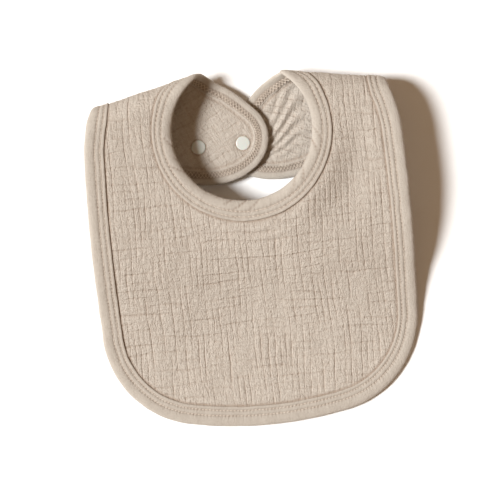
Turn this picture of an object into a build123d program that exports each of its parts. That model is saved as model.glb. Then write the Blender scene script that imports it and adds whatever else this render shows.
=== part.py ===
from build123d import *
from math import atan2, cos, degrees, radians, sin
import os

# A baby's bib of padded cotton muslin, closed at its snap and laid down on its back
# with both shoulders folded under, so that the straps cross behind the neck opening.
# Millimetres. X runs across the bib, Y towards the shoulders and Z up from the table,
# and the origin is on the table under the middle of the bib's outline.

# Outline of the folded bib
HALF_WIDTH = 121.5          # half of the greatest width, low on the bib
HALF_LENGTH = 136.0         # half of the length from the hem to the shoulder folds
SHOULDER_HALF_WIDTH = 119.0
CORNER_HALF_WIDTH = 117.5
CORNER_Y = -112.0           # where the side and the hem would meet without rounding
CORNER_RADIUS = 75.0
NECK_RADIUS = 53.0
SNAP_Y = 79.0               # the snaps lie on this line across the bib
NECK_Y = SNAP_Y + 9.0

# Heights of the cloth's middle surface above the table
TOP_Z = 36.0                # round the neck opening
PANEL_Z = 1.7               # where the front lies on the table
LEFT_STRAP_Z = 7.5          # over the right strap
RIGHT_STRAP_Z = 1.7         # on the table
RISE_START = -92.0          # the front leaves the table here
RISE_END = 48.0             # and is level from here to the shoulders

# Shoulder folds: where the outermost line passes, and how it slopes away outwards
FOLD_INNER_X = 28.0
LEFT_FOLD_Y = SNAP_Y + 54.0
RIGHT_FOLD_Y = SNAP_Y + 51.5
LEFT_FOLD_ANGLE = 13.0
RIGHT_FOLD_ANGLE = -9.0
FOLD_MIDDLE = 45.0          # from the inner end to the middle of a fold
FOLD_HALF_RUN = 65.0        # from there to past both ends
TOP_REACH = 49.0            # level cloth before the fold, all of it above RISE_END

# Straps, as they lie after folding, drawn for the left one
STRAP_TIP_X = 20.0
STRAP_OUTER_X = -110.0
SPLIT_X = -17.0             # the strap bends here when its end is peeled off the snap
SPLIT_GAP = 0.2

# Cloth layers: offsets from the middle surface, positive towards the bib's front face
MUSLIN = (0.52, 1.1)
PADDING = (-0.5, 0.5)
LINING = (-1.1, -0.52)
CLOTH = (-1.1, 1.1)
BINDING = (-1.7, 1.7)
THREAD_DEPTH = 0.35
NEEDLE_LAYER = (BINDING[1] - THREAD_DEPTH, BINDING[1])
LOOPER_LAYER = (BINDING[0], BINDING[0] + THREAD_DEPTH)

# Binding and its coverstitch, measured in from the bound edge
BINDING_WIDTH = 15.0        # on the front, with the two needle rows
NEEDLE_ROWS = (8.0, 12.0)
STRAP_BINDING_WIDTH = 12.0  # narrower round the straps
STRAP_NEEDLE_ROWS = (5.5, 9.5)
NEEDLE_HALF_WIDTH = 0.35
BINDING_WRAP = 1.2

# Plastic snaps
SNAP_PITCH = 34.0
CAP_RADIUS = 5.35
CAP_RIM = 0.9
CAP_HEIGHT = 1.2
SEAT_CLEARANCE = 0.1
PRONG_RADIUS = 0.8
PRONG_HOLE = 0.9
SOCKET_RADIUS = 5.05
SOCKET_DEPTH = 3.15
SOCKET_BORE = 2.5
SOCKET_PLATE = 1.1
STUD_RADIUS = 5.0
STUD_PLATE = 1.3
STUD_KNOB_RADIUS = 2.1
STUD_KNOB_HEIGHT = 1.8
STUD_NECK_RADIUS = 1.9
STUD_BORE = 1.5
PRONG_HEAD_RADIUS = 1.35
PRONG_HEAD = 0.35
PRONG_GRIP = 0.7            # plate thickness that the prong's flattened end holds
SEAT_DEPTH = 5.0

FAR = 130.0                 # past the bib on every side
PRISM_HEIGHT = 60.0


def panel_band(low, high):
    """The front panel in side view, as a closed band between two offsets."""
    run = RISE_END - RISE_START
    rise = TOP_Z - PANEL_Z
    radius = (run**2 + rise**2) / (4 * rise)
    turn = 2 * degrees(atan2(rise, run))
    start, end = -HALF_LENGTH - 10, SNAP_Y - 5
    with BuildSketch(Plane.YZ) as band:
        with BuildLine():
            for offset in (low, high):
                Line((start, PANEL_Z + offset), (RISE_START, PANEL_Z + offset))
                CenterArc((RISE_START, PANEL_Z + radius), radius - offset, -90, turn)
                CenterArc((RISE_END, TOP_Z - radius), radius + offset, 90 + turn, -turn)
                Line((RISE_END, TOP_Z + offset), (end, TOP_Z + offset))
            Line((start, PANEL_Z + low), (start, PANEL_Z + high))
            Line((end, TOP_Z + low), (end, TOP_Z + high))
        make_face()
    return band.sketch


def fold_plane(side):
    """Upright plane across a shoulder fold, its origin where the cloth starts to turn down."""
    left = side == "left"
    angle = radians(LEFT_FOLD_ANGLE if left else RIGHT_FOLD_ANGLE)
    sign = -1 if left else 1
    inner = Vector(sign * FOLD_INNER_X, LEFT_FOLD_Y if left else RIGHT_FOLD_Y, 0)
    along = Vector(cos(angle), sin(angle), 0)
    outward = Vector(-sin(angle), cos(angle), 0)
    origin = inner + along * (sign * FOLD_MIDDLE) - outward * fold_radius(side)
    return Plane(origin=origin, x_dir=outward, z_dir=along)


def fold_radius(side):
    """Half the height between the front panel and the strap under it."""
    return (TOP_Z - (LEFT_STRAP_Z if side == "left" else RIGHT_STRAP_Z)) / 2


def fold_band(side, low, high, half, reach):
    """A shoulder fold in side view: the quarter turn over (half 1) or under (half -1)."""
    radius = fold_radius(side)
    middle = TOP_Z - radius
    with BuildSketch(fold_plane(side)) as band:
        with BuildLine():
            for offset in (low, high):
                level = middle + half * (radius + offset)
                Line((-reach, level), (0, level))
                CenterArc((0, middle), radius + offset, 0, half * 90)
            Line((radius + low, middle), (radius + high, middle))
            Line((-reach, middle + half * (radius + low)), (-reach, middle + half * (radius + high)))
        make_face()
    return band.sketch


def front_outline(inset):
    """Plan of the front without its neck opening, with every bound edge moved in by inset."""
    with BuildSketch() as plan:
        with BuildLine():
            corner = (-CORNER_HALF_WIDTH, CORNER_Y)
            shoulder = (-SHOULDER_HALF_WIDTH, SNAP_Y + 6)
            turn_in = (STRAP_OUTER_X + 1, SNAP_Y + 33)
            ThreePointArc(corner, (0, -HALF_LENGTH), (CORNER_HALF_WIDTH, CORNER_Y))
            for sign in (1, -1):
                ThreePointArc(
                    (sign * corner[0], corner[1]),
                    (-sign * HALF_WIDTH, 10),
                    (sign * shoulder[0], shoulder[1]),
                )
                ThreePointArc(
                    (sign * shoulder[0], shoulder[1]),
                    (sign * (shoulder[0] + 3), SNAP_Y + 22),
                    (sign * turn_in[0], turn_in[1]),
                )
                Line((sign * turn_in[0], turn_in[1]), (sign * turn_in[0], FAR + SNAP_Y))
            Line((turn_in[0], FAR + SNAP_Y), (-turn_in[0], FAR + SNAP_Y))
        make_face()
        fillet(plan.vertices().group_by(Axis.Y)[0], CORNER_RADIUS)
        if inset:
            offset(amount=-inset)
    return plan.sketch


def neck_circle(inset):
    """Plan of the neck opening, grown by inset into the cloth."""
    with BuildSketch() as plan:
        with Locations((0, NECK_Y)):
            Circle(NECK_RADIUS + inset)
    return plan.sketch


def strap_outline(side, inset):
    """Plan of one folded strap, carried on past its shoulder fold."""
    with BuildSketch() as plan:
        with BuildLine():
            fold_corner = (-FOLD_INNER_X, SNAP_Y + 50)
            tip_start = (5, SNAP_Y + 31.5)
            tip_end = (-1, SNAP_Y - 24.5)
            outer = (-45, SNAP_Y - 27)
            hidden = (STRAP_OUTER_X, SNAP_Y + 25)
            Line((-FOLD_INNER_X, FAR + SNAP_Y), fold_corner)
            ThreePointArc(fold_corner, (-10, SNAP_Y + 44), tip_start)
            ThreePointArc(tip_start, (STRAP_TIP_X, SNAP_Y + 2.5), tip_end)
            ThreePointArc(tip_end, (-22, SNAP_Y - 29.5), outer)
            ThreePointArc(outer, (-88, SNAP_Y - 6), hidden)
            Line(hidden, (STRAP_OUTER_X, FAR + SNAP_Y))
            Line((STRAP_OUTER_X, FAR + SNAP_Y), (-FOLD_INNER_X, FAR + SNAP_Y))
        make_face()
        if inset:
            offset(amount=-inset)
        if side == "right":
            mirror(about=Plane.YZ, mode=Mode.REPLACE)
    return plan.sketch


def front_sheet(low, high):
    """Adds the front's sheet of cloth: the panel and the upper half of both folds."""
    extrude(panel_band(low, high), amount=FAR, both=True)
    for side in ("left", "right"):
        extrude(fold_band(side, low, high, 1, TOP_REACH), amount=FOLD_HALF_RUN, both=True)


def strap_sheet(side, low, high):
    """Adds a strap's sheet of cloth: the lower half of its fold and the level strap."""
    extrude(fold_band(side, low, high, -1, FAR), amount=FAR, both=True)


def keep(plan):
    """Keeps what stands on a plan."""
    extrude(plan, amount=PRISM_HEIGHT, both=True, mode=Mode.INTERSECT)


def cut(plan):
    """Cuts away what stands on a plan."""
    extrude(plan, amount=PRISM_HEIGHT, both=True, mode=Mode.SUBTRACT)


def split_plan(root):
    """Plan of the left strap's root, or of its end, each side of the bend line."""
    edge = SPLIT_X if root else SPLIT_X + SPLIT_GAP
    width = 2 * FAR
    with BuildSketch() as plan:
        with Locations((edge + (-width / 2 if root else width / 2), SNAP_Y)):
            Rectangle(width, 2 * FAR)
    return plan.sketch


def edge_strip(edge, near, far):
    """Plan of the strip that runs along a bound edge, from near to far inside it."""
    with BuildSketch() as plan:
        if edge == "neck":
            add(neck_circle(far))
            add(neck_circle(near), mode=Mode.SUBTRACT)
        elif edge == "hem":
            add(front_outline(near))
            add(front_outline(far), mode=Mode.SUBTRACT)
        else:
            add(strap_outline(edge, near))
            add(strap_outline(edge, far), mode=Mode.SUBTRACT)
    return plan.sketch


def finish(builder, name):
    """Labels a finished piece and writes it."""
    builder.part.label = name
    export_step(builder.part, f"parts/{name}.step")


def cloth_layers(prefix, sheet, plans, seats):
    """Muslin, padding and lining of one panel, with seats for the snaps pressed through them."""
    for layer_name, layer in (("muslin", MUSLIN), ("padding", PADDING), ("lining", LINING)):
        with BuildPart() as cloth:
            sheet(*layer)
            for plan in plans:
                keep(plan)
            for seat in seats:
                add(seat, mode=Mode.SUBTRACT)
        finish(cloth, f"{prefix}_{layer_name}")


def bound_edge(prefix, sheet, edge, plans, slot):
    """Binding folded round an edge, with its needle and looper threads sunk into it."""
    on_front = edge in ("hem", "neck")
    width = BINDING_WIDTH if on_front else STRAP_BINDING_WIDTH
    middles = NEEDLE_ROWS if on_front else STRAP_NEEDLE_ROWS
    rows = [(middle - NEEDLE_HALF_WIDTH, middle + NEEDLE_HALF_WIDTH) for middle in middles]
    with BuildSketch() as needle_plan:
        for row in rows:
            add(edge_strip(edge, *row))
    with BuildPart() as needle:
        sheet(*NEEDLE_LAYER)
        for plan in (needle_plan.sketch, *plans):
            keep(plan)
    finish(needle, f"{prefix}_needle_thread")
    with BuildPart() as looper:
        sheet(*LOOPER_LAYER)
        for plan in (edge_strip(edge, rows[0][0], rows[-1][1]), *plans):
            keep(plan)
    finish(looper, f"{prefix}_looper_thread")
    with BuildPart() as binding:
        sheet(*BINDING)
        for plan in (edge_strip(edge, 0, width), *plans):
            keep(plan)
        for filling in (slot, needle.part, looper.part):
            add(filling, mode=Mode.SUBTRACT)
    finish(binding, f"{prefix}_binding")


def turning_plane(place):
    """Upright plane through the middle of a snap."""
    return Plane(origin=(*place, 0), x_dir=(1, 0, 0), z_dir=(0, -1, 0))


def snap_axis(place):
    """Upright line through the middle of a snap."""
    return Axis((*place, 0), (0, 0, 1))


def snap_cap(name, place, base, out):
    """Cap: a low domed head, and the prong that runs back through the cloth."""
    prong_end = base - out * (PADDING[1] - PADDING[0] + PRONG_GRIP)
    head_end = prong_end - out * PRONG_HEAD
    with BuildPart() as cap:
        with BuildSketch(turning_plane(place)):
            with BuildLine():
                top = (0, base + out * CAP_HEIGHT)
                rim = (CAP_RADIUS, base + out * CAP_RIM)
                TangentArc(top, rim, tangent=(1, 0))
                Polyline(
                    rim,
                    (CAP_RADIUS, base),
                    (PRONG_RADIUS, base),
                    (PRONG_RADIUS, prong_end),
                    (PRONG_HEAD_RADIUS, prong_end),
                    (PRONG_HEAD_RADIUS, head_end),
                    (0, head_end),
                    top,
                )
            make_face()
        revolve(axis=snap_axis(place))
    finish(cap, name)


def snap_socket(name, place, base):
    """Socket: a plate held to the cloth by the prong, and a collar that opens downwards."""
    with BuildPart() as socket:
        with BuildSketch(turning_plane(place)):
            with BuildLine():
                Polyline(
                    (PRONG_HOLE, base),
                    (SOCKET_RADIUS, base),
                    (SOCKET_RADIUS, base - SOCKET_DEPTH),
                    (SOCKET_BORE, base - SOCKET_DEPTH),
                    (SOCKET_BORE, base - SOCKET_PLATE - PRONG_HEAD),
                    (PRONG_HEAD_RADIUS + SEAT_CLEARANCE, base - PRONG_GRIP - PRONG_HEAD),
                    (PRONG_HEAD_RADIUS + SEAT_CLEARANCE, base - PRONG_GRIP),
                    (PRONG_HOLE, base - PRONG_GRIP),
                    close=True,
                )
            make_face()
        revolve(axis=snap_axis(place))
    finish(socket, name)


def snap_stud(name, place, base):
    """Stud: a plate on the lining with a hollow knob that the socket grips."""
    shoulder = base + STUD_PLATE
    knob_top = shoulder + STUD_KNOB_HEIGHT
    with BuildPart() as stud:
        with BuildSketch(turning_plane(place)):
            with BuildLine():
                Polyline(
                    (PRONG_HOLE, base),
                    (STUD_RADIUS, base),
                    (STUD_RADIUS, shoulder),
                    (STUD_NECK_RADIUS, shoulder),
                    (STUD_KNOB_RADIUS, shoulder + STUD_KNOB_HEIGHT / 2),
                    (STUD_NECK_RADIUS, knob_top),
                    (STUD_BORE, knob_top),
                    (STUD_BORE, base + PRONG_GRIP),
                    (PRONG_HOLE, base + PRONG_GRIP),
                    close=True,
                )
            make_face()
        revolve(axis=snap_axis(place))
    finish(stud, name)


def snap_seat(place, middle, cap_side):
    """What a snap takes out of the cloth: a disc each side of the padding and the prong's hole."""
    with BuildPart() as seat:
        for sign, radius in ((cap_side, CAP_RADIUS), (-cap_side, SOCKET_RADIUS)):
            with BuildSketch(Plane.XY.offset(middle + sign * PADDING[1])):
                with Locations(place):
                    Circle(radius + SEAT_CLEARANCE)
            extrude(amount=sign * SEAT_DEPTH)
        with BuildSketch(Plane.XY.offset(middle)):
            with Locations(place):
                Circle(PRONG_HOLE)
        extrude(amount=SEAT_DEPTH, both=True)
    return seat.part


os.makedirs("parts", exist_ok=True)

# Front: cloth from the hem to the top of both shoulder folds, bound along hem and neck

cloth_layers(
    "front", front_sheet, [front_outline(BINDING_WRAP), edge_strip("neck", BINDING_WRAP, FAR * 2)], []
)

with BuildPart() as front_slot:
    front_sheet(*CLOTH)
    keep(front_outline(BINDING_WRAP))
    cut(neck_circle(BINDING_WRAP))

bound_edge("front_edge", front_sheet, "hem", [], front_slot.part)
bound_edge("front_neck", front_sheet, "neck", [], front_slot.part)

# Straps: the right one on the table, the left one over it in two parts that meet at its bend

snap_places = [(0, SNAP_Y), (-SNAP_PITCH, SNAP_Y)]
left_seats = [snap_seat(place, LEFT_STRAP_Z, 1) for place in snap_places]
right_seats = [snap_seat(snap_places[0], RIGHT_STRAP_Z, -1)]


def left_sheet(low, high):
    """The left strap's sheet."""
    strap_sheet("left", low, high)


def right_sheet(low, high):
    """The right strap's sheet."""
    strap_sheet("right", low, high)


for prefix, edge, sheet, plans, seats in (
    ("left_shoulder", "left", left_sheet, [split_plan(True)], left_seats),
    ("left_strap_end", "left", left_sheet, [split_plan(False)], left_seats),
    ("right_strap", "right", right_sheet, [], right_seats),
):
    cloth_layers(prefix, sheet, [strap_outline(edge, BINDING_WRAP), *plans], seats)
    with BuildPart() as slot:
        sheet(*CLOTH)
        keep(strap_outline(edge, BINDING_WRAP))
    bound_edge(prefix, sheet, edge, plans, slot.part)

# Snaps: two caps with sockets on the left strap, and a cap with a stud on the right one

for name, place in (("tip_snap", snap_places[0]), ("inner_snap", snap_places[1])):
    snap_cap(f"{name}_cap", place, LEFT_STRAP_Z + PADDING[1], 1)
    snap_socket(f"{name}_socket", place, LEFT_STRAP_Z + PADDING[0])
snap_cap("stud_cap", snap_places[0], RIGHT_STRAP_Z + PADDING[0], -1)
snap_stud("snap_stud", snap_places[0], RIGHT_STRAP_Z + PADDING[1])
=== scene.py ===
import bpy
import numpy as np
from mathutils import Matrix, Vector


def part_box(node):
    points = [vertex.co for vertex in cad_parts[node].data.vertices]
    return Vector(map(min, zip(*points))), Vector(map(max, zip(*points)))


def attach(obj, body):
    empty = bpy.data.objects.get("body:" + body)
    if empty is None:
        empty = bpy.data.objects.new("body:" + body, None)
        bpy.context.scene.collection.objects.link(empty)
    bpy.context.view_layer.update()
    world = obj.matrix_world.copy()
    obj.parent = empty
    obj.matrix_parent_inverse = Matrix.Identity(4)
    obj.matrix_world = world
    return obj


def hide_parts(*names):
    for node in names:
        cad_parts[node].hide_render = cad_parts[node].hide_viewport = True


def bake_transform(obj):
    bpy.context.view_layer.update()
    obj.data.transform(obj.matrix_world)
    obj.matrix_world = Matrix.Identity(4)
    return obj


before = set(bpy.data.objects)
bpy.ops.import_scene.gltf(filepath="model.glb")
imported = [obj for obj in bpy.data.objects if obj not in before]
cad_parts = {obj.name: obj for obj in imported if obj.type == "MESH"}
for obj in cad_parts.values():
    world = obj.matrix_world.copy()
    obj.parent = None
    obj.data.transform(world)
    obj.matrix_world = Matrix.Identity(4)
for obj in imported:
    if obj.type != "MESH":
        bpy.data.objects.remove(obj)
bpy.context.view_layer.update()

# The cut and how it lies. Muslin, padding and lining are cut to one shape, from the hem to both
# strap tips. The bib then lies on its back: the front rises off the table to the shoulders,
# turns down round each shoulder fold, and the straps lie level behind the neck opening.

snap_low, snap_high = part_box("tip_snap_cap")
SNAP_Y = (snap_low.y + snap_high.y) / 2
HALF_WIDTH = 0.1215         # at its widest, level with WIDEST_Y
WIDEST_Y = 0.010
FLANK_CURVE = 0.3
HEM_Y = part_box("front_edge_binding")[0].y
HEM_RADIUS = 0.2996
CORNER_RADIUS = 0.075
CORNER_X = 0.0452
SIDE_TOP_Y = SNAP_Y + 0.004
NECK_RADIUS = 0.053
NECK_ENDS = np.radians(38)  # the round part of the neck opening ends here, from straight up
NECK_Y = SNAP_Y + 0.009
PANEL_Z = 0.0017            # middle of the cloth where the front lies on the table
TOP_Z = 0.036               # and at the shoulders
RISE_START, RISE_END = -0.092, 0.048
FOLD_INNER_X, FOLD_OUTER_X = 0.028, 0.111

# Outline of a strap, measured from the snap line and drawn as for the left one. Only its neck
# edge differs, as the right strap is turned further down.
STRAP_OUTER_EDGE = [
    (-0.103, 0.012), (-0.088, -0.006), (-0.067, -0.0195), (-0.045, -0.027), (-0.022, -0.0295),
    (-0.001, -0.0245), (0.0135, -0.0135), (0.020, 0.0025), (0.0165, 0.0185),
]
LEFT_NECK_EDGE = [(0.005, 0.0315), (-0.0065, 0.0415), (-0.018, 0.0485)]
RIGHT_NECK_EDGE = [(0.004, 0.0245), (-0.0077, 0.0335), (-0.0160, 0.0415), (-0.0255, 0.0470)]
SHOULDER_EDGE = [(0.1183, 0.014), (0.1162, 0.024), (0.1137, 0.0305)]


class Fold:
    """A shoulder fold: the line it lies on, at the angle it slopes at, the level of the strap
    below, and the strap's neck edge up to where that crosses the line."""

    def __init__(self, side, inner_y, angle, strap_z, neck_x, neck_edge):
        turn = np.radians(angle)
        self.side = side
        self.outward = np.array([-np.sin(turn), np.cos(turn)])
        self.radius = (TOP_Z - strap_z) / 2
        self.inner = np.array([side * FOLD_INNER_X, inner_y])
        self.start = self.inner - self.outward * self.radius
        self.neck_edge = [*(np.array(neck_edge) * [-side, 1] + [0, SNAP_Y]), self.on_line(neck_x)]

    def on_line(self, x):
        """Point of the fold's outermost line at a distance from the middle of the bib."""
        beyond = x - FOLD_INNER_X
        return self.inner + [self.side * beyond, -abs(beyond * self.outward[0] / self.outward[1])]

    def flatten(self, place, under):
        """Point of the flat cut that lies over a place, on the front or under the fold."""
        ahead = (place - self.start) @ self.outward
        turned = self.radius * np.arcsin(np.clip(ahead / self.radius, 0, 1))
        if under:
            length = np.pi * self.radius - np.where(ahead > 0, turned, ahead)
        else:
            length = np.where(ahead > 0, turned, ahead)
        return place + np.multiply.outer(length - ahead, self.outward)


left_fold = Fold(
    side=-1, inner_y=SNAP_Y + 0.054, angle=13.0, strap_z=0.0075, neck_x=0.028, neck_edge=LEFT_NECK_EDGE
)
right_fold = Fold(
    side=1, inner_y=SNAP_Y + 0.0515, angle=-9.0, strap_z=0.0017, neck_x=0.033, neck_edge=RIGHT_NECK_EDGE
)

FRONT_WAVE = 0.0011         # height of the waves across the front
NECK_SWELL = 0.0046         # how much higher the front stands beside the neck
SWELL_BEARING = 0.95        # radians to the right of straight below the neck
PULL_HEIGHT, PULL_PITCH = 0.00035, 0.0072    # small pleats round the bottom of the neck
FAN_DEPTH, FAN_PITCH = 0.0019, 0.165         # creases of the right strap, a pitch in radians
FAN_BEARING = 0.95
FAN_X, FAN_Y = -0.005, -0.019         # where the creases meet, from the snap line


def steps(value, low, high):
    """Smooth step: 0 below low, 1 above high, and an S-shaped curve between them."""
    t = np.clip((value - low) / (high - low), 0, 1)
    return t * t * (3 - 2 * t)


def on_right(cut):
    """Whether points belong to the right half of the cut; the right strap's tip nears the middle."""
    return cut[..., 0] > -0.005 * steps(cut[..., 1], 0.15, 0.20)


def strap_place(cut):
    """Where points of the cut lie in plan once folded, and how far round its fold each one is."""
    place = cut.copy()
    turn = np.zeros(cut.shape[:-1])
    for fold in (left_fold, right_fold):
        length = (cut - fold.start) @ fold.outward
        mine = (on_right(cut) == (fold.side > 0)) & (length > 0)
        angle = np.clip(length / fold.radius, 0, np.pi)
        ahead = fold.radius * np.sin(angle) - (length - fold.radius * angle)
        moved = cut + np.multiply.outer(ahead - length, fold.outward)
        place = np.where(mine[..., None], moved, place)
        turn = np.where(mine, angle, turn)
    return place, turn


def slack(cut):
    """Soft shapes that all layers share: the front waves a little and stands higher beside the
    neck, and the right strap is creased in a fan that spreads from its snap."""
    x, y = cut[..., 0], cut[..., 1]
    place, turn = strap_place(cut)
    on_front = 1 - steps(turn, 0.0, 0.8)
    lift = on_front * steps(y, -0.10, -0.02) * FRONT_WAVE * np.sin(x / 0.021 + 1.2 * np.sin(y / 0.034))
    below_neck = np.hypot(x, y - NECK_Y) - NECK_RADIUS
    bearing = np.arctan2(x, NECK_Y - y)
    raised = (1 - steps(below_neck, 0.017, 0.039)) * np.exp(-(((bearing - SWELL_BEARING) / 0.48) ** 2))
    lift += on_front * NECK_SWELL * raised
    pulled = np.exp(-(((below_neck - 0.027) / 0.010) ** 2) - (x / 0.045) ** 2) * (y < NECK_Y)
    lift += PULL_HEIGHT * pulled * np.cos(2 * np.pi * below_neck / PULL_PITCH)
    aside, ahead = place[..., 0] - FAN_X, place[..., 1] - SNAP_Y - FAN_Y
    fan = np.arctan2(aside, ahead) + 0.05 * np.sin(aside / 0.006)
    reach = np.hypot(aside, ahead)
    creased = steps(reach, 0.018, 0.032) * (1 - steps(reach, 0.070, 0.085)) * steps(turn, 1.9, 3.0)
    creased *= np.exp(-(((fan - FAN_BEARING) / 0.42) ** 2)) * on_right(cut)
    lift -= creased * FAN_DEPTH * (0.5 + 0.5 * np.cos(2 * np.pi * fan / FAN_PITCH))
    return lift


def lay(cut, lift):
    """Place in space of points of the flat cut, lifted off the middle of the cloth towards its
    face. Height follows two equal arcs up from the table, then a half circle round the fold."""
    y = cut[..., 1]
    run, rise = RISE_END - RISE_START, TOP_Z - PANEL_Z
    bend = (run**2 + rise**2) / (4 * rise)
    up = np.clip(y - RISE_START, 0, run / 2)
    down = np.clip(RISE_END - y, 0, run / 2)
    first = y < (RISE_START + RISE_END) / 2
    height = np.where(
        first, PANEL_Z + bend - np.sqrt(bend**2 - up**2), TOP_Z - bend + np.sqrt(bend**2 - down**2)
    )
    tilt = np.arcsin(np.where(first, up, down) / bend)
    place, turn = strap_place(cut)
    right = on_right(cut)
    radius = np.where(right, right_fold.radius, left_fold.radius)
    ahead = np.where(right[..., None], right_fold.outward, left_fold.outward)
    height = np.where(turn > 0, TOP_Z - radius * (1 - np.cos(turn)), height)
    normal = np.stack(
        [
            ahead[..., 0] * np.sin(turn),
            np.where(turn > 0, ahead[..., 1] * np.sin(turn), -np.sin(tilt)),
            np.where(turn > 0, np.cos(turn), np.cos(tilt)),
        ],
        axis=-1,
    )
    full = lift + slack(cut)
    return np.concatenate([place, height[..., None]], axis=-1) + normal * full[..., None]


# The bound edge: one closed line round the cut, from the middle of the hem up the left side,
# round the left strap, the neck opening and the right strap, and back down the right side.

EDGE_STEP = 0.0007
EVENED = 0.002              # the outline is evened out over this length
SPLIT_X = -0.0245           # the strap end that peels off is its own piece from here
COARSE = 3                  # the nearest edge point is first sought among every third one
BLOCK = 4000                # points of the cloth are looked up this many at a time


def half_edge(fold):
    """One half of the edge, from the middle of the hem to the bottom of the neck opening."""
    side = fold.side
    reach = HEM_RADIUS - CORNER_RADIUS
    corner_y = HEM_Y + HEM_RADIUS - np.sqrt(reach**2 - CORNER_X**2)
    meet = np.arcsin(CORNER_X / reach)
    sweep = np.linspace(0, meet, 30, endpoint=False)[:, None]
    hem = [0, HEM_Y + HEM_RADIUS] + HEM_RADIUS * np.hstack([side * np.sin(sweep), -np.cos(sweep)])
    sweep = np.linspace(meet, np.pi / 2, 40, endpoint=False)[:, None]
    corner = [side * CORNER_X, corner_y] + CORNER_RADIUS * np.hstack([side * np.sin(sweep), -np.cos(sweep)])
    y = np.linspace(corner_y, SIDE_TOP_Y, 60)
    flank = np.column_stack([side * (HALF_WIDTH - FLANK_CURVE * (y - WIDEST_Y) ** 2), y])
    over = fold.flatten(np.array(SHOULDER_EDGE) * [side, 1] + [0, SNAP_Y], False)
    strap = np.array(STRAP_OUTER_EDGE) * [-side, 1] + [0, SNAP_Y]
    under = fold.flatten(np.array([fold.on_line(FOLD_OUTER_X), *strap, *fold.neck_edge]), True)
    sweep = np.linspace(NECK_ENDS, np.pi, 60)[:, None]
    neck = [0, NECK_Y] + NECK_RADIUS * np.hstack([side * np.sin(sweep), np.cos(sweep)])
    return np.vstack([hem, corner, flank, over, under, fold.flatten(neck, False)])


def curve_through(points, spacing):
    """Closed curve through the points, of cubics that leave each point along the parabola
    through it and its neighbours, sampled evenly and evened out."""
    step = np.roll(points, -1, 0) - points
    chord = np.hypot(*step.T)[:, None]
    before = np.roll(chord, 1, 0)
    slope = (before * step / chord + chord * np.roll(step / chord, 1, 0)) / (before + chord)
    knots = np.concatenate([[0], np.cumsum(chord)])
    at = np.linspace(0, knots[-1], 9000, endpoint=False)
    k = np.searchsorted(knots, at, side="right") - 1
    following = (k + 1) % len(points)
    t = (at - knots[k])[:, None] / chord[k]
    curve = (1 + 2 * t) * (1 - t) ** 2 * points[k] + t * (1 - t) ** 2 * chord[k] * slope[k]
    curve += t * t * (3 - 2 * t) * points[following] - t * t * (1 - t) * chord[k] * slope[following]
    closed = np.vstack([curve, curve[:1]])
    length = np.concatenate([[0], np.cumsum(np.hypot(*np.diff(closed, axis=0).T))])
    even = np.linspace(0, length[-1], int(round(length[-1] / spacing)), endpoint=False)
    sampled = np.column_stack([np.interp(even, length, closed[:, i]) for i in (0, 1)])
    waves = np.fft.fftfreq(len(even), spacing)
    blur = np.exp(-2 * (np.pi * waves * EVENED) ** 2)
    return np.real(np.fft.ifft(np.fft.fft(sampled, axis=0) * blur[:, None], axis=0))


def on_strap_end(cut):
    """Whether points belong to the end of the left strap, which peels off the stud."""
    place, turn = strap_place(cut)
    return (turn >= np.pi) & ~on_right(cut) & (place[..., 0] > SPLIT_X)


left_half, right_half = half_edge(left_fold), half_edge(right_fold)
edge = curve_through(np.vstack([left_half, right_half[::-1][1:-1]]), EDGE_STEP)
peeled = on_strap_end(edge)
edge = np.roll(edge, -np.flatnonzero(peeled & ~np.roll(peeled, -1))[0], 0)
BODY_LENGTH = EDGE_STEP * (np.count_nonzero(~peeled) + 1)
edge_along = np.roll(edge, -1, 0) - np.roll(edge, 1, 0)
edge_along /= np.hypot(*edge_along.T)[:, None]
edge_inward = np.column_stack([edge_along[:, 1], -edge_along[:, 0]])
EDGE_LENGTH = EDGE_STEP * len(edge)


def beside_edge(along, inside):
    """Point of the cut a given way along the edge and a given distance inside it."""
    index = np.asarray(along) / EDGE_STEP
    low = np.floor(index).astype(int)
    part = (index - low)[..., None]
    low, high = low % len(edge), (low + 1) % len(edge)
    place = edge[low] * (1 - part) + edge[high] * part
    inward = edge_inward[low] * (1 - part) + edge_inward[high] * part
    return place + inward * np.asarray(inside)[..., None]


def distance_inside(cut):
    """Distance of points from the nearest edge point, positive inside the cut, and which it is."""
    flat = cut.reshape(-1, 2)
    coarse = edge[::COARSE]
    nearest = np.concatenate(
        [
            ((block[:, None, :] - coarse[None]) ** 2).sum(-1).argmin(1) * COARSE
            for block in np.array_split(flat, max(1, len(flat) // BLOCK))
        ]
    )
    for _ in range(2):
        options = (nearest[:, None] + np.arange(-1, 2)) % len(edge)
        gap = ((flat[:, None, :] - edge[options]) ** 2).sum(-1)
        nearest = options[np.arange(len(flat)), gap.argmin(1)]
    away = flat - edge[nearest]
    inward = (away * edge_inward[nearest]).sum(-1)
    distance = np.hypot(*away.T) * np.where(inward > 0, 1, -1)
    return distance.reshape(cut.shape[:-1]), nearest.reshape(cut.shape[:-1])


# Muslin and lining: double gauze that shrinks into lengthwise wrinkles about 4 mm apart, crossed
# by fainter ones. Each is one sheet, cut with the edge and sewn in under the binding.

CLOTH_GRID = 0.0009
TUCKED = 0.007              # how far inside the bound edge the sheet's own edge lies
SEAM, STRAP_SEAM = 0.015, 0.012     # width of the binding on the front and on the straps
NARROWING = (0.5, 2.6)      # radians round the fold between which it narrows
FACE_LIFT = 0.0013          # from the middle of the cloth to the middle of its wrinkled face
WRINKLE_PITCH, CROSS_PITCH = 0.0044, 0.0062
WRINKLE_DEPTH, CROSS_DEPTH = 0.00034, 0.00022
WRINKLE_WIDTH = 0.0007
LATTICE = 256               # cells across the lattice of random slopes
SNAP_GAP = 0.034            # from the tip snap to the inner one on the left strap
SNAP_RIM = 0.0057           # the cloth turns in round this radius


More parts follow.
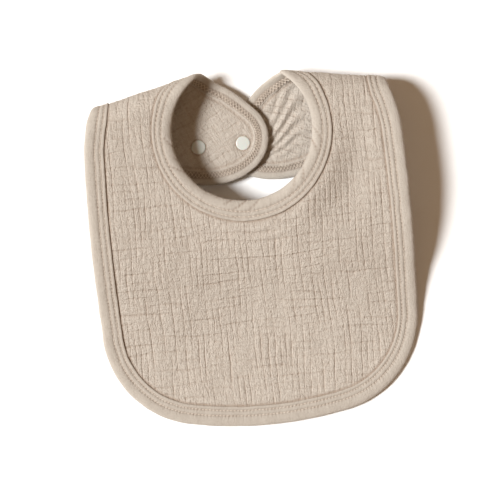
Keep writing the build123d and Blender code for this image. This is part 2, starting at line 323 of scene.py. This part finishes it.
def drift(cut, wide, tall, seed):
    """Smooth random waves of about -1 to 1: slopes drawn at random on a lattice wide by tall,
    joined across each cell by smooth steps."""
    draw = np.random.default_rng(seed)
    slope = draw.uniform(0, 2 * np.pi, (LATTICE, LATTICE))
    u, v = cut[..., 0] / wide + 101.3, cut[..., 1] / tall + 67.7
    i, j = np.floor(u).astype(int), np.floor(v).astype(int)
    fu, fv = u - i, v - j
    su, sv = fu**3 * (fu * (6 * fu - 15) + 10), fv**3 * (fv * (6 * fv - 15) + 10)

    def corner(a, b):
        angle = slope[(i + a) % LATTICE, (j + b) % LATTICE]
        return np.cos(angle) * (fu - a) + np.sin(angle) * (fv - b)

    low = corner(0, 0) * (1 - su) + corner(1, 0) * su
    high = corner(0, 1) * (1 - su) + corner(1, 1) * su
    return 1.5 * (low * (1 - sv) + high * sv)


def creases(across, pitch, width):
    """Narrow grooves one pitch apart across the cloth, as a depth from 0 to 1."""
    gap = np.abs((across / pitch + 0.5) % 1 - 0.5) * pitch
    return np.exp(-((gap / width) ** 2))


def wrinkles(cut, seed):
    """Height of the crinkled gauze over the flat cloth, how deep in a groove each point lies, and
    the number and depth of its lengthwise and crosswise wrinkles. The wrinkles wander and fade
    by random waves, over puckers and swells."""
    x, y = cut[..., 0], cut[..., 1]
    wander = 0.0024 * drift(cut, 0.023, 0.060, seed) + 0.0006 * drift(cut, 0.006, 0.014, seed + 1)
    cross_wander = 0.0032 * drift(cut, 0.05, 0.022, seed + 2) + 0.0008 * drift(cut, 0.012, 0.007, seed + 3)
    on_strap = steps(y, 0.130, 0.165)
    strength = np.clip(0.45 + 0.9 * drift(cut, 0.0047, 0.036, seed + 4), 0, 1) * (1 - 0.6 * on_strap)
    cross_strength = np.clip(0.48 + 0.85 * drift(cut, 0.034, 0.0062, seed + 5), 0, 1)
    cross_strength *= 1 - 0.5 * steps(y, 0.075, 0.110) * (1 - on_strap)
    lengthwise = strength * creases(x + wander, WRINKLE_PITCH, WRINKLE_WIDTH)
    cross_strength *= 0.75 + 0.25 * np.cos(2 * np.pi * (x + wander) / WRINKLE_PITCH)
    crosswise = cross_strength * creases(y + cross_wander, CROSS_PITCH, WRINKLE_WIDTH)
    puff = 0.00006 * np.cos(2 * np.pi * ((x + wander) / WRINKLE_PITCH + 0.5)) * np.clip(strength, 0.3, 1)
    pucker = 0.00016 * drift(cut, 0.0026, 0.0036, seed + 6) + 0.00012 * drift(cut, 0.004, 0.0019, seed + 7)
    pucker += 0.00055 * on_strap * (np.abs(drift(cut, 0.0085, 0.0065, seed + 9)) - 0.4)
    swell = 0.00040 * drift(cut, 0.016, 0.030, seed + 8)
    height = puff + pucker + swell - WRINKLE_DEPTH * lengthwise - CROSS_DEPTH * crosswise
    number = np.stack([(x + wander) / WRINKLE_PITCH, (y + cross_wander) / CROSS_PITCH, 0 * x], axis=-1)
    depth = np.stack([strength, cross_strength, 0 * x], axis=-1)
    return height, np.clip(lengthwise + 0.8 * crosswise, 0, 1), number, depth


def pressed(cut):
    """How flat the snaps press the cloth, from 1 under them to 0 a few millimetres away, and
    the shaded ring of cloth where it turns in under their rims."""
    place, turn = strap_place(cut)
    across = place[..., 0]
    nearest = np.where(~on_right(cut) & (across < -SNAP_GAP / 2), across + SNAP_GAP, across)
    away = np.hypot(nearest, place[..., 1] - SNAP_Y)
    held = turn >= np.pi
    flat = held * (1 - steps(away, 0.0052, 0.0095))
    return flat, held * np.exp(-(((away - SNAP_RIM) / 0.0006) ** 2))


def seam_width(nearest):
    """Width of the binding at points of the edge: narrower beyond the shoulder folds."""
    turn = strap_place(edge)[1]
    return (SEAM + (STRAP_SEAM - SEAM) * steps(turn, *NARROWING))[nearest]


def cloth_grid(step, tuck):
    """Square grid over the cut, kept where it is inside the tucked edge, with its rim drawn onto
    that edge. Gives its points, how far inside the edge they are, the binding's width there, and
    the faces of the body of the bib and of the left strap's end."""
    x = np.arange(edge[:, 0].min(), edge[:, 0].max() + step, step)
    y = np.arange(edge[:, 1].min(), edge[:, 1].max() + step, step)
    cut = np.stack(np.meshgrid(x, y), axis=-1)
    inside, nearest = distance_inside(cut)
    kept = inside > tuck
    cell = kept[:-1, :-1] & kept[1:, :-1] & kept[:-1, 1:] & kept[1:, 1:]
    used = np.pad(cell, 1).astype(int)
    around = used[:-1, :-1] + used[1:, :-1] + used[:-1, 1:] + used[1:, 1:]
    rim = (around > 0) & (around < 4)
    cut[rim] = edge[nearest[rim]] + edge_inward[nearest[rim]] * tuck
    inside[rim] = tuck
    strap_end = on_strap_end((cut[:-1, :-1] + cut[1:, 1:]) / 2)
    number = np.arange(inside.size).reshape(inside.shape)
    corners = np.stack([number[:-1, :-1], number[:-1, 1:], number[1:, 1:], number[1:, :-1]], axis=-1)
    width = seam_width(nearest.reshape(-1))
    faces = (corners[cell & ~strap_end], corners[cell & strap_end])
    return cut.reshape(-1, 2), inside.reshape(-1), width, *faces


def make_piece(name, points, faces, material, cut=None, painted_shade=None, wrinkled=()):
    """Smooth-shaded mesh of the points that the faces use, with the flat cut as its UV map in
    metres, and the painted shade of its creases and seams and the number and depth of its
    wrinkles as attributes."""
    used, index = np.unique(faces, return_inverse=True)
    faces = index.reshape(faces.shape)
    mesh = bpy.data.meshes.new(name)
    mesh.from_pydata(points[used].tolist(), [], faces.tolist())
    mesh.shade_smooth()
    mesh.materials.append(material)
    if cut is not None:
        layer = mesh.uv_layers.new(name="cut")
        layer.data.foreach_set("uv", cut[used][faces.reshape(-1)].astype(np.float32).ravel())
        depth = mesh.attributes.new("painted_shade", "FLOAT", "POINT")
        depth.data.foreach_set("value", painted_shade[used].astype(np.float32))
    for label, values in zip(("wrinkle_number", "wrinkle_depth"), wrinkled):
        layer = mesh.attributes.new(label, "FLOAT_VECTOR", "POINT")
        layer.data.foreach_set("vector", values[used].astype(np.float32).ravel())
    piece = bpy.data.objects.new(name, mesh)
    bpy.context.scene.collection.objects.link(piece)
    return piece


THREAD_BUMP, HAIRLINE_BUMP, PLEAT_BUMP, SLUB_BUMP = 0.25, 0.62, 0.95, 1.4
# How strongly the grooves, the hairlines and the cloth's shade attribute darken its colour, as painted
# shade.
GROOVE_SHADE, HAIRLINE_SHADE, CREASE_SHADE = 0.20, 0.11, 0.55


def gauze_weave():
    """Node group for woven cotton. Threads: the product of two sine bands across each other, with
    slubs from noise. Colour: the base mottled by noise and mixed towards a darker colour as
    painted shade, in the wrinkles' grooves, along hairlines and by the cloth's shade attribute."""
    group = bpy.data.node_groups.new("gauze_weave", "ShaderNodeTree")
    socket = group.interface.new_socket
    socket(name="Thread Pitch", in_out="INPUT", socket_type="NodeSocketFloat")
    socket(name="Slant", in_out="INPUT", socket_type="NodeSocketFloat")
    socket(name="Crinkle", in_out="INPUT", socket_type="NodeSocketFloat")
    socket(name="Colour", in_out="INPUT", socket_type="NodeSocketColor")
    socket(name="Shade Colour", in_out="INPUT", socket_type="NodeSocketColor")
    socket(name="Colour", in_out="OUTPUT", socket_type="NodeSocketColor")
    socket(name="Normal", in_out="OUTPUT", socket_type="NodeSocketVector")
    nodes, links = group.nodes, group.links
    given = nodes.new("NodeGroupInput")
    result = nodes.new("NodeGroupOutput")

    def sums(operation, a, b=None):
        node = nodes.new("ShaderNodeMath")
        node.operation = operation
        for index, value in enumerate((a, b)):
            if isinstance(value, (int, float)):
                node.inputs[index].default_value = value
            elif value is not None:
                links.new(value, node.inputs[index])
        return node.outputs[0]

    cloth = nodes.new("ShaderNodeUVMap")
    cloth.uv_map = "cut"
    turned = nodes.new("ShaderNodeVectorRotate")
    turned.rotation_type = "Z_AXIS"
    links.new(cloth.outputs["UV"], turned.inputs["Vector"])
    links.new(given.outputs["Slant"], turned.inputs["Angle"])
    split = nodes.new("ShaderNodeSeparateXYZ")
    links.new(turned.outputs["Vector"], split.inputs[0])
    turns = sums("DIVIDE", 2 * np.pi, given.outputs["Thread Pitch"])
    warp = sums("SINE", sums("MULTIPLY", split.outputs["X"], turns))
    weft = sums("SINE", sums("MULTIPLY", split.outputs["Y"], turns))

    def mottle(scale, detail):
        noise = nodes.new("ShaderNodeTexNoise")
        noise.inputs["Scale"].default_value = scale
        noise.inputs["Detail"].default_value = detail
        links.new(cloth.outputs["UV"], noise.inputs["Vector"])
        return noise.outputs["Fac"]

    def hairline(lengths):
        """Thin lines where stretched noise crosses its middle value."""
        stretched = nodes.new("ShaderNodeVectorMath")
        stretched.operation = "MULTIPLY"
        stretched.inputs[1].default_value = lengths
        links.new(cloth.outputs["UV"], stretched.inputs[0])
        noise = nodes.new("ShaderNodeTexNoise")
        noise.inputs["Scale"].default_value = 1.0
        noise.inputs["Detail"].default_value = 2.0
        links.new(stretched.outputs["Vector"], noise.inputs["Vector"])
        away = sums("ABSOLUTE", sums("SUBTRACT", noise.outputs["Fac"], 0.5))
        line = nodes.new("ShaderNodeMapRange")
        line.interpolation_type = "SMOOTHSTEP"
        line.inputs["From Min"].default_value = 0.075
        line.inputs["From Max"].default_value = 0.0
        links.new(away, line.inputs["Value"])
        return line.outputs["Result"]

    def attribute(label):
        """The lengthwise and the crosswise number kept in an attribute of the cloth."""
        node = nodes.new("ShaderNodeAttribute")
        node.attribute_name = label
        parts = nodes.new("ShaderNodeSeparateXYZ")
        links.new(node.outputs["Vector"], parts.inputs[0])
        return parts.outputs[:2]

    def bell(value, middle, width):
        """1 at the middle, smoothly 0 a width away."""
        shape = nodes.new("ShaderNodeMapRange")
        shape.interpolation_type = "SMOOTHSTEP"
        shape.inputs["From Min"].default_value = width
        shape.inputs["From Max"].default_value = 0.0
        links.new(sums("ABSOLUTE", sums("SUBTRACT", value, middle)), shape.inputs["Value"])
        return shape.outputs["Result"]

    grooves, pleats = 0.0, 0.0
    for number, depth in zip(attribute("wrinkle_number"), attribute("wrinkle_depth")):
        across = sums("SUBTRACT", sums("FRACT", sums("ADD", number, 0.5)), 0.5)
        groove = sums("MULTIPLY", bell(across, 0.0, 0.13), depth)
        ridge = sums("MULTIPLY", bell(across, 0.20, 0.17), depth)
        grooves = sums("ADD", groove, grooves)
        pleats = sums("ADD", sums("SUBTRACT", sums("MULTIPLY", ridge, 0.6), groove), pleats)

    hairlines = sums("ADD", hairline((430.0, 120.0, 1.0)), hairline((120.0, 390.0, 1.0)))
    hairlines = sums("MULTIPLY", hairlines, given.outputs["Crinkle"])
    slub = mottle(900.0, 3.0)
    threads = sums("MULTIPLY", sums("MULTIPLY", warp, weft), THREAD_BUMP)
    threads = sums("SUBTRACT", threads, sums("MULTIPLY", hairlines, HAIRLINE_BUMP))
    threads = sums("ADD", threads, sums("MULTIPLY", pleats, PLEAT_BUMP))
    bump = nodes.new("ShaderNodeBump")
    bump.inputs["Strength"].default_value = 0.9
    bump.inputs["Distance"].default_value = 0.0004
    links.new(sums("ADD", threads, sums("MULTIPLY", slub, SLUB_BUMP)), bump.inputs["Height"])
    links.new(bump.outputs["Normal"], result.inputs["Normal"])

    # Painted shade: the colour is mixed towards the darker colour in the wrinkles' grooves, along the
    # hairlines and by the amount kept in the cloth's shade attribute.
    creased = nodes.new("ShaderNodeAttribute")
    creased.attribute_name = "painted_shade"
    closed = nodes.new("ShaderNodeMix")
    closed.data_type = "RGBA"
    shade = sums("MULTIPLY", grooves, GROOVE_SHADE)
    shade = sums("ADD", shade, sums("MULTIPLY", hairlines, HAIRLINE_SHADE))
    shade = sums("ADD", shade, sums("MULTIPLY", creased.outputs["Fac"], CREASE_SHADE))
    links.new(shade, closed.inputs["Factor"])
    links.new(given.outputs["Colour"], closed.inputs["A"])
    links.new(given.outputs["Shade Colour"], closed.inputs["B"])
    uneven = nodes.new("ShaderNodeMapRange")
    uneven.inputs["To Min"].default_value = 0.92
    uneven.inputs["To Max"].default_value = 1.07
    blotches = sums("ADD", sums("MULTIPLY", mottle(60.0, 4.0), 0.6), sums("MULTIPLY", slub, 0.4))
    links.new(blotches, uneven.inputs["Value"])
    shaded = nodes.new("ShaderNodeVectorMath")
    shaded.operation = "SCALE"
    links.new(closed.outputs["Result"], shaded.inputs[0])
    links.new(uneven.outputs["Result"], shaded.inputs["Scale"])
    links.new(shaded.outputs["Vector"], result.inputs["Colour"])
    return group


weave_group = gauze_weave()


def cotton(name, colour, shade_colour, thread_pitch, slant, crinkle):
    """Matt cotton whose colour and threads come from the weave group."""
    material = bpy.data.materials.new(name)
    material.use_nodes = True
    nodes, links = material.node_tree.nodes, material.node_tree.links
    shader = nodes["Principled BSDF"]
    shader.inputs["Roughness"].default_value = 0.92
    shader.inputs["Specular IOR Level"].default_value = 0.15
    weave = nodes.new("ShaderNodeGroup")
    weave.node_tree = weave_group
    weave.inputs["Thread Pitch"].default_value = thread_pitch
    weave.inputs["Slant"].default_value = slant
    weave.inputs["Crinkle"].default_value = crinkle
    weave.inputs["Colour"].default_value = (*colour, 1)
    weave.inputs["Shade Colour"].default_value = (*shade_colour, 1)
    links.new(weave.outputs["Colour"], shader.inputs["Base Color"])
    links.new(weave.outputs["Normal"], shader.inputs["Normal"])
    return material


THREAD_PITCH = 0.00062
# Its second, darker colour is painted shade, mixed in where the cloth creases, along the seams and round
# the snap rims.
muslin_cotton = cotton(
    "muslin_cotton", colour=(0.62, 0.562, 0.495), shade_colour=(0.31, 0.20, 0.13),
    thread_pitch=THREAD_PITCH, slant=0.0, crinkle=1.0,
)


def join_body(piece):
    """Bakes its placement into the points of a piece running from the front round the shoulder folds to the
    straps.
    """
    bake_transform(piece)


def join_end(piece):
    """Bakes its placement into the points of the left strap's end, which peels off the stud."""
    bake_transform(piece)


def lay_sheet(name, points, faces, cut, painted_shade, wrinkled, replaced, join):
    """One layer of the bib's cloth, made as a piece in place of the parts that it replaces."""
    piece = make_piece(name, points, faces, muslin_cotton, cut, painted_shade, wrinkled)
    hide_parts(*replaced)
    join(piece)


SEAM_DIP = 0.0005           # how far the stitches pull the cloth in beside the binding
THINNEST, UNDER_SNAP = 0.0002, 0.0004        # from the middle of the cloth to its face
BODY_PARTS = ("front", "left_shoulder", "right_strap")

grid_cut, grid_inside, grid_seam, body_faces, end_faces = cloth_grid(CLOTH_GRID, TUCKED)
at_seam = np.exp(-(((grid_inside - grid_seam - 0.0005) / 0.0009) ** 2))
free = steps(grid_inside, grid_seam - 0.002, grid_seam + 0.004)
flat, ring = pressed(grid_cut)


def gauze_layer(name, side, seed, fullness, seam_shade):
    """A wrinkled sheet and its strap end, on the face of the bib (side 1) or its back (side -1):
    the wrinkles fade towards the binding and the snaps, and the seam beside it is in shade."""
    rise, creased, number, depth = wrinkles(grid_cut, seed)
    off = FACE_LIFT + rise * (0.25 + fullness * free) - SEAM_DIP * at_seam
    off = np.maximum(off, THINNEST) * (1 - flat) + UNDER_SNAP * flat
    points = lay(grid_cut, side * off)
    # Painted shade amount: the wrinkles' grooves and the seam beside the binding, faded where the snaps
    # press the cloth flat, plus a shaded ring under the snap rims.
    creased = np.clip(0.25 * creased * free + seam_shade * at_seam, 0, 1) * (1 - flat) + ring
    wrinkled = (number, depth * (free * (1 - flat))[:, None])
    lay_sheet(
        name, points, body_faces[:, ::side], grid_cut, creased, wrinkled,
        [f"{part}_{name}" for part in BODY_PARTS], join_body,
    )
    lay_sheet(
        name + "_strap_end", points, end_faces[:, ::side], grid_cut, creased, wrinkled,
        [f"left_strap_end_{name}"], join_end,
    )


gauze_layer("muslin", side=1, seed=11, fullness=0.75, seam_shade=0.9)
gauze_layer("lining", side=-1, seed=41, fullness=0.6, seam_shade=0.6)

# Padding: a thin cotton wadding between the two, cut to the same shape and out of sight.

PADDING_GRID, PADDING_TUCKED = 0.0015, 0.008
pad_cut, _, _, pad_body, pad_end = cloth_grid(PADDING_GRID, PADDING_TUCKED)
plain = np.zeros(len(pad_cut))
middle = lay(pad_cut, plain)
lay_sheet(
    "padding", middle, pad_body, pad_cut, plain, (),
    [f"{part}_padding" for part in BODY_PARTS], join_body,
)
lay_sheet(
    "padding_strap_end", middle, pad_end, pad_cut, plain, (),
    ["left_strap_end_padding"], join_end,
)

# Binding: a strip of the same gauze cut on the bias, folded round the whole edge and stitched
# down through all layers by a twin-needle machine, which sinks two rows of stitches into it.

STITCH_PITCH = 0.0028
ROWS = (0.008, 0.012)       # how far inside the edge the stitches run on the front
STRAP_ROWS = (0.0055, 0.0095)
NEEDLE_DIP = 0.0004         # how deep a needle hole dimples the binding
NECK_CURL = 0.0018          # how far the edge of the neck opening curls down
PINCH_PITCH, PINCH_WIDTH, PINCH_DEPTH = 0.0105, 0.0008, 0.0009     # slanting folds below the neck
# Section from its inner edge on the face, round the bound edge, to its inner edge on the back:
# millimetres inside the edge, and off the middle of the cloth.
BINDING_SECTION = np.array([
    (14.4, 0.6), (15.0, 1.0), (15.0, 1.45), (14.6, 1.80), (13.8, 1.90), (12.8, 1.80), (12.3, 1.58),
    (12.0, 1.44), (11.7, 1.58), (11.1, 1.80), (10.0, 1.88), (8.9, 1.80), (8.3, 1.58), (8.0, 1.44),
    (7.7, 1.58), (7.1, 1.82), (5.6, 1.98), (3.8, 2.00), (2.2, 1.82), (1.0, 1.40), (0.2, 0.7),
    (0.0, -0.1), (0.3, -0.9), (1.4, -1.5), (3.6, -1.7), (6.0, -1.7), (8.0, -1.4), (10.0, -1.6),
    (12.0, -1.4), (13.4, -1.65), (14.0, -1.2), (13.6, -0.5),
]) / 1000


def narrowed(inside, along):
    """Distance inside the edge as the binding narrows from its front width to its strap width."""
    narrower = np.interp(inside, [0, ROWS[0], ROWS[1], SEAM], [
        0, ROWS[0] - STRAP_ROWS[0], ROWS[1] - STRAP_ROWS[1], SEAM - STRAP_SEAM
    ])
    index = np.round(np.asarray(along) / EDGE_STEP).astype(int) % len(edge)
    return inside - narrower * steps(strap_place(edge)[1], *NARROWING)[index]


def grid_faces(rows, columns, closed=False):
    """Faces of a grid of points given row by row, closed across the columns or not."""
    number = np.arange(rows * columns).reshape(rows, columns)
    following = np.roll(number, -1, 1) if closed else number[:, 1:]
    first = number if closed else number[:, :-1]
    return np.stack([first[:-1], first[1:], following[1:], following[:-1]], axis=-1).reshape(-1, 4)


def bound(name, start, stop, join, replaced):
    """The binding from start to stop along the edge: its section carried along the edge, rippled
    by random waves, with a dimple where the needle went through. Round the bottom of the neck
    its edge curls down, with slanting folds."""
    along = np.arange(start, stop + EDGE_STEP / 2, EDGE_STEP)[:, None]
    inside, off = BINDING_SECTION.T
    front = off > 0
    cut = beside_edge(along, narrowed(inside, along))
    cut += 0.00025 * drift(cut, 0.012, 0.012, 70)[..., None]
    hole = 0.5 + 0.5 * np.cos(2 * np.pi * along / STITCH_PITCH)
    from_row = np.abs(inside[:, None] - ROWS).min(1)
    near_row = np.exp(-((from_row / 0.0006) ** 2))
    ripple = 0.00018 * drift(cut, 0.0042, 0.0042, 71) + 0.00025 * drift(cut, 0.011, 0.011, 72)
    swell = 0.00016 * np.sin(2 * np.pi * (along + 0.7 * inside) / STITCH_PITCH)
    swell = swell * np.exp(-((from_row / 0.0016) ** 2))
    soft = np.sign(off) * np.clip(np.abs(off) / 0.0012, 0, 1)
    lift = off + soft * (ripple + swell - NEEDLE_DIP * hole * near_row * front)
    off_neck = np.hypot(cut[..., 0], cut[..., 1] - NECK_Y) - NECK_RADIUS
    curl = (1 - steps(off_neck, 0.012, 0.016)) * (1 - steps(cut[..., 1], NECK_Y, NECK_Y + 0.03))
    lift = lift - NECK_CURL * curl * np.clip(1 - inside / 0.0075, 0, 1) ** 2
    on_neck = (off_neck < 0.012) & (cut[..., 1] < NECK_Y)
    pinched = creases(along + 1.3 * inside, PINCH_PITCH, PINCH_WIDTH)
    pinched = pinched * np.clip(0.4 + 1.5 * drift(cut, 0.02, 0.02, 73), 0, 1)
    pinched = pinched * on_neck * front * (1 - steps(inside, 0.0065, 0.0078))
    lift = lift - PINCH_DEPTH * pinched
    # Painted shade: darker in the needle dimples along the rows, along the seam at the binding's inner
    # edge, in the slanting folds below the neck and between the rows on the back.
    behind = (off < -0.001) & (inside > 0.007) & (inside < 0.013)
    at_rim = (inside > 0.0148) * front
    painted_shade = (0.35 + 0.65 * hole) * near_row * front + 0.8 * at_rim + 1.0 * pinched + 0.65 * behind
    painted_shade = np.clip(painted_shade, 0, 1)
    rows, columns = cut.shape[:2]
    piece = make_piece(
        name, lay(cut, lift).reshape(-1, 3), grid_faces(rows, columns), binding_cotton,
        cut.reshape(-1, 2), np.broadcast_to(painted_shade, (rows, columns)).reshape(-1),
    )
    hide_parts(*replaced)
    join(piece)


BIAS = 0.785                # 45 degrees
# Its second, darker colour is painted shade, mixed into the binding's dimples, seam and folds.
binding_cotton = cotton(
    "binding_cotton", colour=(0.57, 0.517, 0.453), shade_colour=(0.22, 0.12, 0.07),
    thread_pitch=THREAD_PITCH, slant=BIAS, crinkle=0.35,
)
BODY_EDGES = ("front_edge", "front_neck", "left_shoulder", "right_strap")
bound("binding", 0, BODY_LENGTH, join_body, [f"{part}_binding" for part in BODY_EDGES])
bound("binding_strap_end", BODY_LENGTH, EDGE_LENGTH, join_end, ["left_strap_end_binding"])

# Stitching: two rows of needle stitches sunk into the face of the binding, and a looper thread
# that chains from row to row across its back.

NEEDLE_THREAD, LOOPER_THREAD = 0.00022, 0.00036      # their radii
HALF_STITCH = 0.00105
NEEDLE_LIFT, STITCH_BEND = 0.00160, 0.00035
LOOPER_LIFT, LOOPER_CROSS = -0.00190, 0.00022


def thread_cotton():
    """Spun cotton thread, smoother and a little lighter than the gauze."""
    material = bpy.data.materials.new("thread_cotton")
    material.use_nodes = True
    shader = material.node_tree.nodes["Principled BSDF"]
    shader.inputs["Base Color"].default_value = (0.70, 0.62, 0.53, 1)
    shader.inputs["Roughness"].default_value = 0.7
    return material


sewing_cotton = thread_cotton()


def needle_stitches(name, start, stop, join, replaced):
    """Stitches one pitch apart in both rows: short rounded rods that dip into the cloth at their
    ends, each a ring of points carried along the stitch and drawn in at both ends."""
    middle = (np.arange(np.ceil(start / STITCH_PITCH), np.floor(stop / STITCH_PITCH)) + 0.5) * STITCH_PITCH
    middle, row = (part.reshape(-1, 1, 1) for part in np.meshgrid(middle, ROWS))
    t = np.array([-1.0, -0.9, -0.55, 0.0, 0.55, 0.9, 1.0])[:, None]
    angle = np.linspace(0, 2 * np.pi, 6, endpoint=False)
    radius = NEEDLE_THREAD * np.sqrt(1.0001 - t**4)
    along = middle + t * HALF_STITCH + 0 * angle
    inside = narrowed(row + 0 * along, along) + radius * np.cos(angle)
    lift = NEEDLE_LIFT - STITCH_BEND * t**4 + radius * np.sin(angle) + 0 * middle
    points = lay(beside_edge(along, inside), lift).reshape(-1, 3)
    count = len(t) * len(angle)
    faces = grid_faces(len(t), len(angle), True)
    faces = (faces + np.arange(middle.size)[:, None, None] * count).reshape(-1, 4)
    piece = make_piece(name, points, faces, sewing_cotton)
    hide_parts(*replaced)
    join(piece)


def looper_chain(name, start, stop, join, replaced):
    """Two strands that cross from row to row, a triangle wave and its mirror image, each a tube
    carried along the edge."""
    along = np.arange(start, stop + EDGE_STEP / 2, EDGE_STEP)[:, None]
    angle = np.linspace(0, 2 * np.pi, 5, endpoint=False)
    wave = np.abs((along / (2 * STITCH_PITCH)) % 1 * 2 - 1) * 2 - 1
    strands = []
    for sign in (1, -1):
        across = (ROWS[0] + ROWS[1]) / 2 + sign * wave * (ROWS[1] - ROWS[0]) / 2
        inside = narrowed(across, along) + LOOPER_THREAD * np.cos(angle)
        over = LOOPER_CROSS * sign * np.cos(np.pi * along / STITCH_PITCH)
        lift = LOOPER_LIFT - over + LOOPER_THREAD * np.sin(angle)
        strands.append(lay(beside_edge(along + 0 * angle, inside), lift).reshape(-1, 3))
    faces = grid_faces(len(along), len(angle), True)
    piece = make_piece(name, np.vstack(strands), np.vstack([faces, faces + len(strands[0])]), sewing_cotton)
    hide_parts(*replaced)
    join(piece)


for sew, name, thread in (
    (needle_stitches, "needle_stitches", "needle_thread"),
    (looper_chain, "looper_chain", "looper_thread"),
):
    sew(name, 0, BODY_LENGTH, join_body, [f"{part}_{thread}" for part in BODY_EDGES])
    sew(name + "_end", BODY_LENGTH, EDGE_LENGTH, join_end, [f"left_strap_end_{thread}"])

# Snaps: moulded plastic. Two caps with sockets on the left strap, the outer one closed on the
# stud of the right strap. Each cap's prong holds it through the cloth.


def plastic():
    """Glossy white moulded plastic."""
    material = bpy.data.materials.new("snap_plastic")
    material.use_nodes = True
    shader = material.node_tree.nodes["Principled BSDF"]
    shader.inputs["Base Color"].default_value = (0.63, 0.65, 0.61, 1)
    shader.inputs["Roughness"].default_value = 0.25
    shader.inputs["Subsurface Weight"].default_value = 0.15
    shader.inputs["Subsurface Scale"].default_value = 0.002
    return material


snap_plastic = plastic()
SNAP_SIDES = 64


def turned(node, body, section, facing=1):
    """A round part turned about its upright axis from a section of radii and heights in
    millimetres, outwards from the cloth it is fixed to."""
    low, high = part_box(node)
    middle = (low + high) / 2
    radius, out = np.array(section).T / 1000
    base = low.z if facing > 0 else high.z
    angle = np.linspace(0, 2 * np.pi, SNAP_SIDES, endpoint=False)
    points = np.stack(
        [
            middle.x + np.outer(radius, np.cos(angle)),
            middle.y + np.outer(radius, np.sin(angle)),
            base + facing * np.outer(out, np.ones(SNAP_SIDES)),
        ],
        axis=-1,
    )
    faces = grid_faces(len(section), SNAP_SIDES, True)
    piece = make_piece("turned_" + node, points.reshape(-1, 3), faces[:, ::-facing], snap_plastic)
    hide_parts(node)
    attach(piece, body)


CAP = [
    (0.01, 0.0), (1.35, 0.0), (1.35, 0.35), (0.8, 0.35), (0.8, 1.55), (5.1, 1.55), (5.35, 1.75),
    (5.35, 2.25), (5.25, 2.45), (5.0, 2.6), (4.6, 2.66), (3.6, 2.70), (2.0, 2.74), (0.01, 2.75),
]
SOCKET = [
    (0.9, 0.0), (4.85, 0.0), (5.05, 0.2), (5.05, 1.1), (4.4, 1.4), (3.4, 1.5), (3.3, 2.9),
    (3.15, 3.15), (2.6, 3.15), (2.5, 2.95), (2.5, 1.45), (1.45, 1.05), (1.45, 0.7), (0.9, 0.7),
    (0.9, 0.0),
]
STUD = [
    (0.9, 0.0), (4.8, 0.0), (5.0, 0.2), (5.0, 0.9), (4.6, 1.2), (2.5, 1.3), (1.95, 1.45),
    (2.1, 2.2), (2.0, 2.8), (1.8, 3.1), (1.6, 3.1), (1.5, 2.9), (1.5, 0.7), (0.9, 0.7), (0.9, 0.0),
]
turned("tip_snap_cap", "left_strap_end", CAP)
turned("tip_snap_socket", "left_strap_end", SOCKET, -1)
turned("inner_snap_cap", "straps", CAP)
turned("inner_snap_socket", "straps", SOCKET, -1)
turned("stud_cap", "straps", CAP, -1)
turned("snap_stud", "straps", STUD)

# Table, light and camera: a pale table, a key light from the left and the camera straight above,
# turned a little so that the bib lies askew.

TABLE_Z, TABLE_REACH = -0.0010, 4
KEY_TURN = (np.radians(-3), np.radians(-41), 0)
CAMERA_HEIGHT, CAMERA_TURN = 3.0, -0.096
SEEN_HEIGHT = 0.015         # level at which the camera sees SEEN_WIDTH from side to side
SEEN_WIDTH = 0.379
SENSOR_WIDTH = 36

corners = [(x * TABLE_REACH, y * TABLE_REACH, TABLE_Z) for x, y in ((-1, -1), (1, -1), (1, 1), (-1, 1))]
table_mesh = bpy.data.meshes.new("table")
table_mesh.from_pydata(corners, [], [(0, 1, 2, 3)])
table_top = bpy.data.materials.new("table_top")
table_top.use_nodes = True
table_shader = table_top.node_tree.nodes["Principled BSDF"]
table_shader.inputs["Base Color"].default_value = (0.95, 0.95, 0.95, 1)
table_shader.inputs["Roughness"].default_value = 0.9
table_mesh.materials.append(table_top)
table = bpy.data.objects.new("table", table_mesh)
bpy.context.scene.collection.objects.link(table)

key = bpy.data.lights.new("key", "SUN")
key.energy = 4.4
key.angle = 0.28
key.color = (0.98, 0.995, 1.0)
key_lamp = bpy.data.objects.new("key", key)
key_lamp.rotation_euler = KEY_TURN
bpy.context.scene.collection.objects.link(key_lamp)

world = bpy.data.worlds.new("soft_fill")
world.use_nodes = True
fill = world.node_tree.nodes["Background"]
fill.inputs["Color"].default_value = (1.0, 0.66, 0.40, 1)
fill.inputs["Strength"].default_value = 0.27
bpy.context.scene.world = world

lens = bpy.data.cameras.new("camera")
lens.lens = SENSOR_WIDTH * (CAMERA_HEIGHT - SEEN_HEIGHT) / SEEN_WIDTH
camera = bpy.data.objects.new("camera", lens)
camera.location = (-0.0025, -0.0023, CAMERA_HEIGHT)
camera.rotation_euler = (0, 0, CAMERA_TURN)
bpy.context.scene.collection.objects.link(camera)
bpy.context.scene.camera = camera
bpy.context.scene.view_settings.view_transform = "Standard"
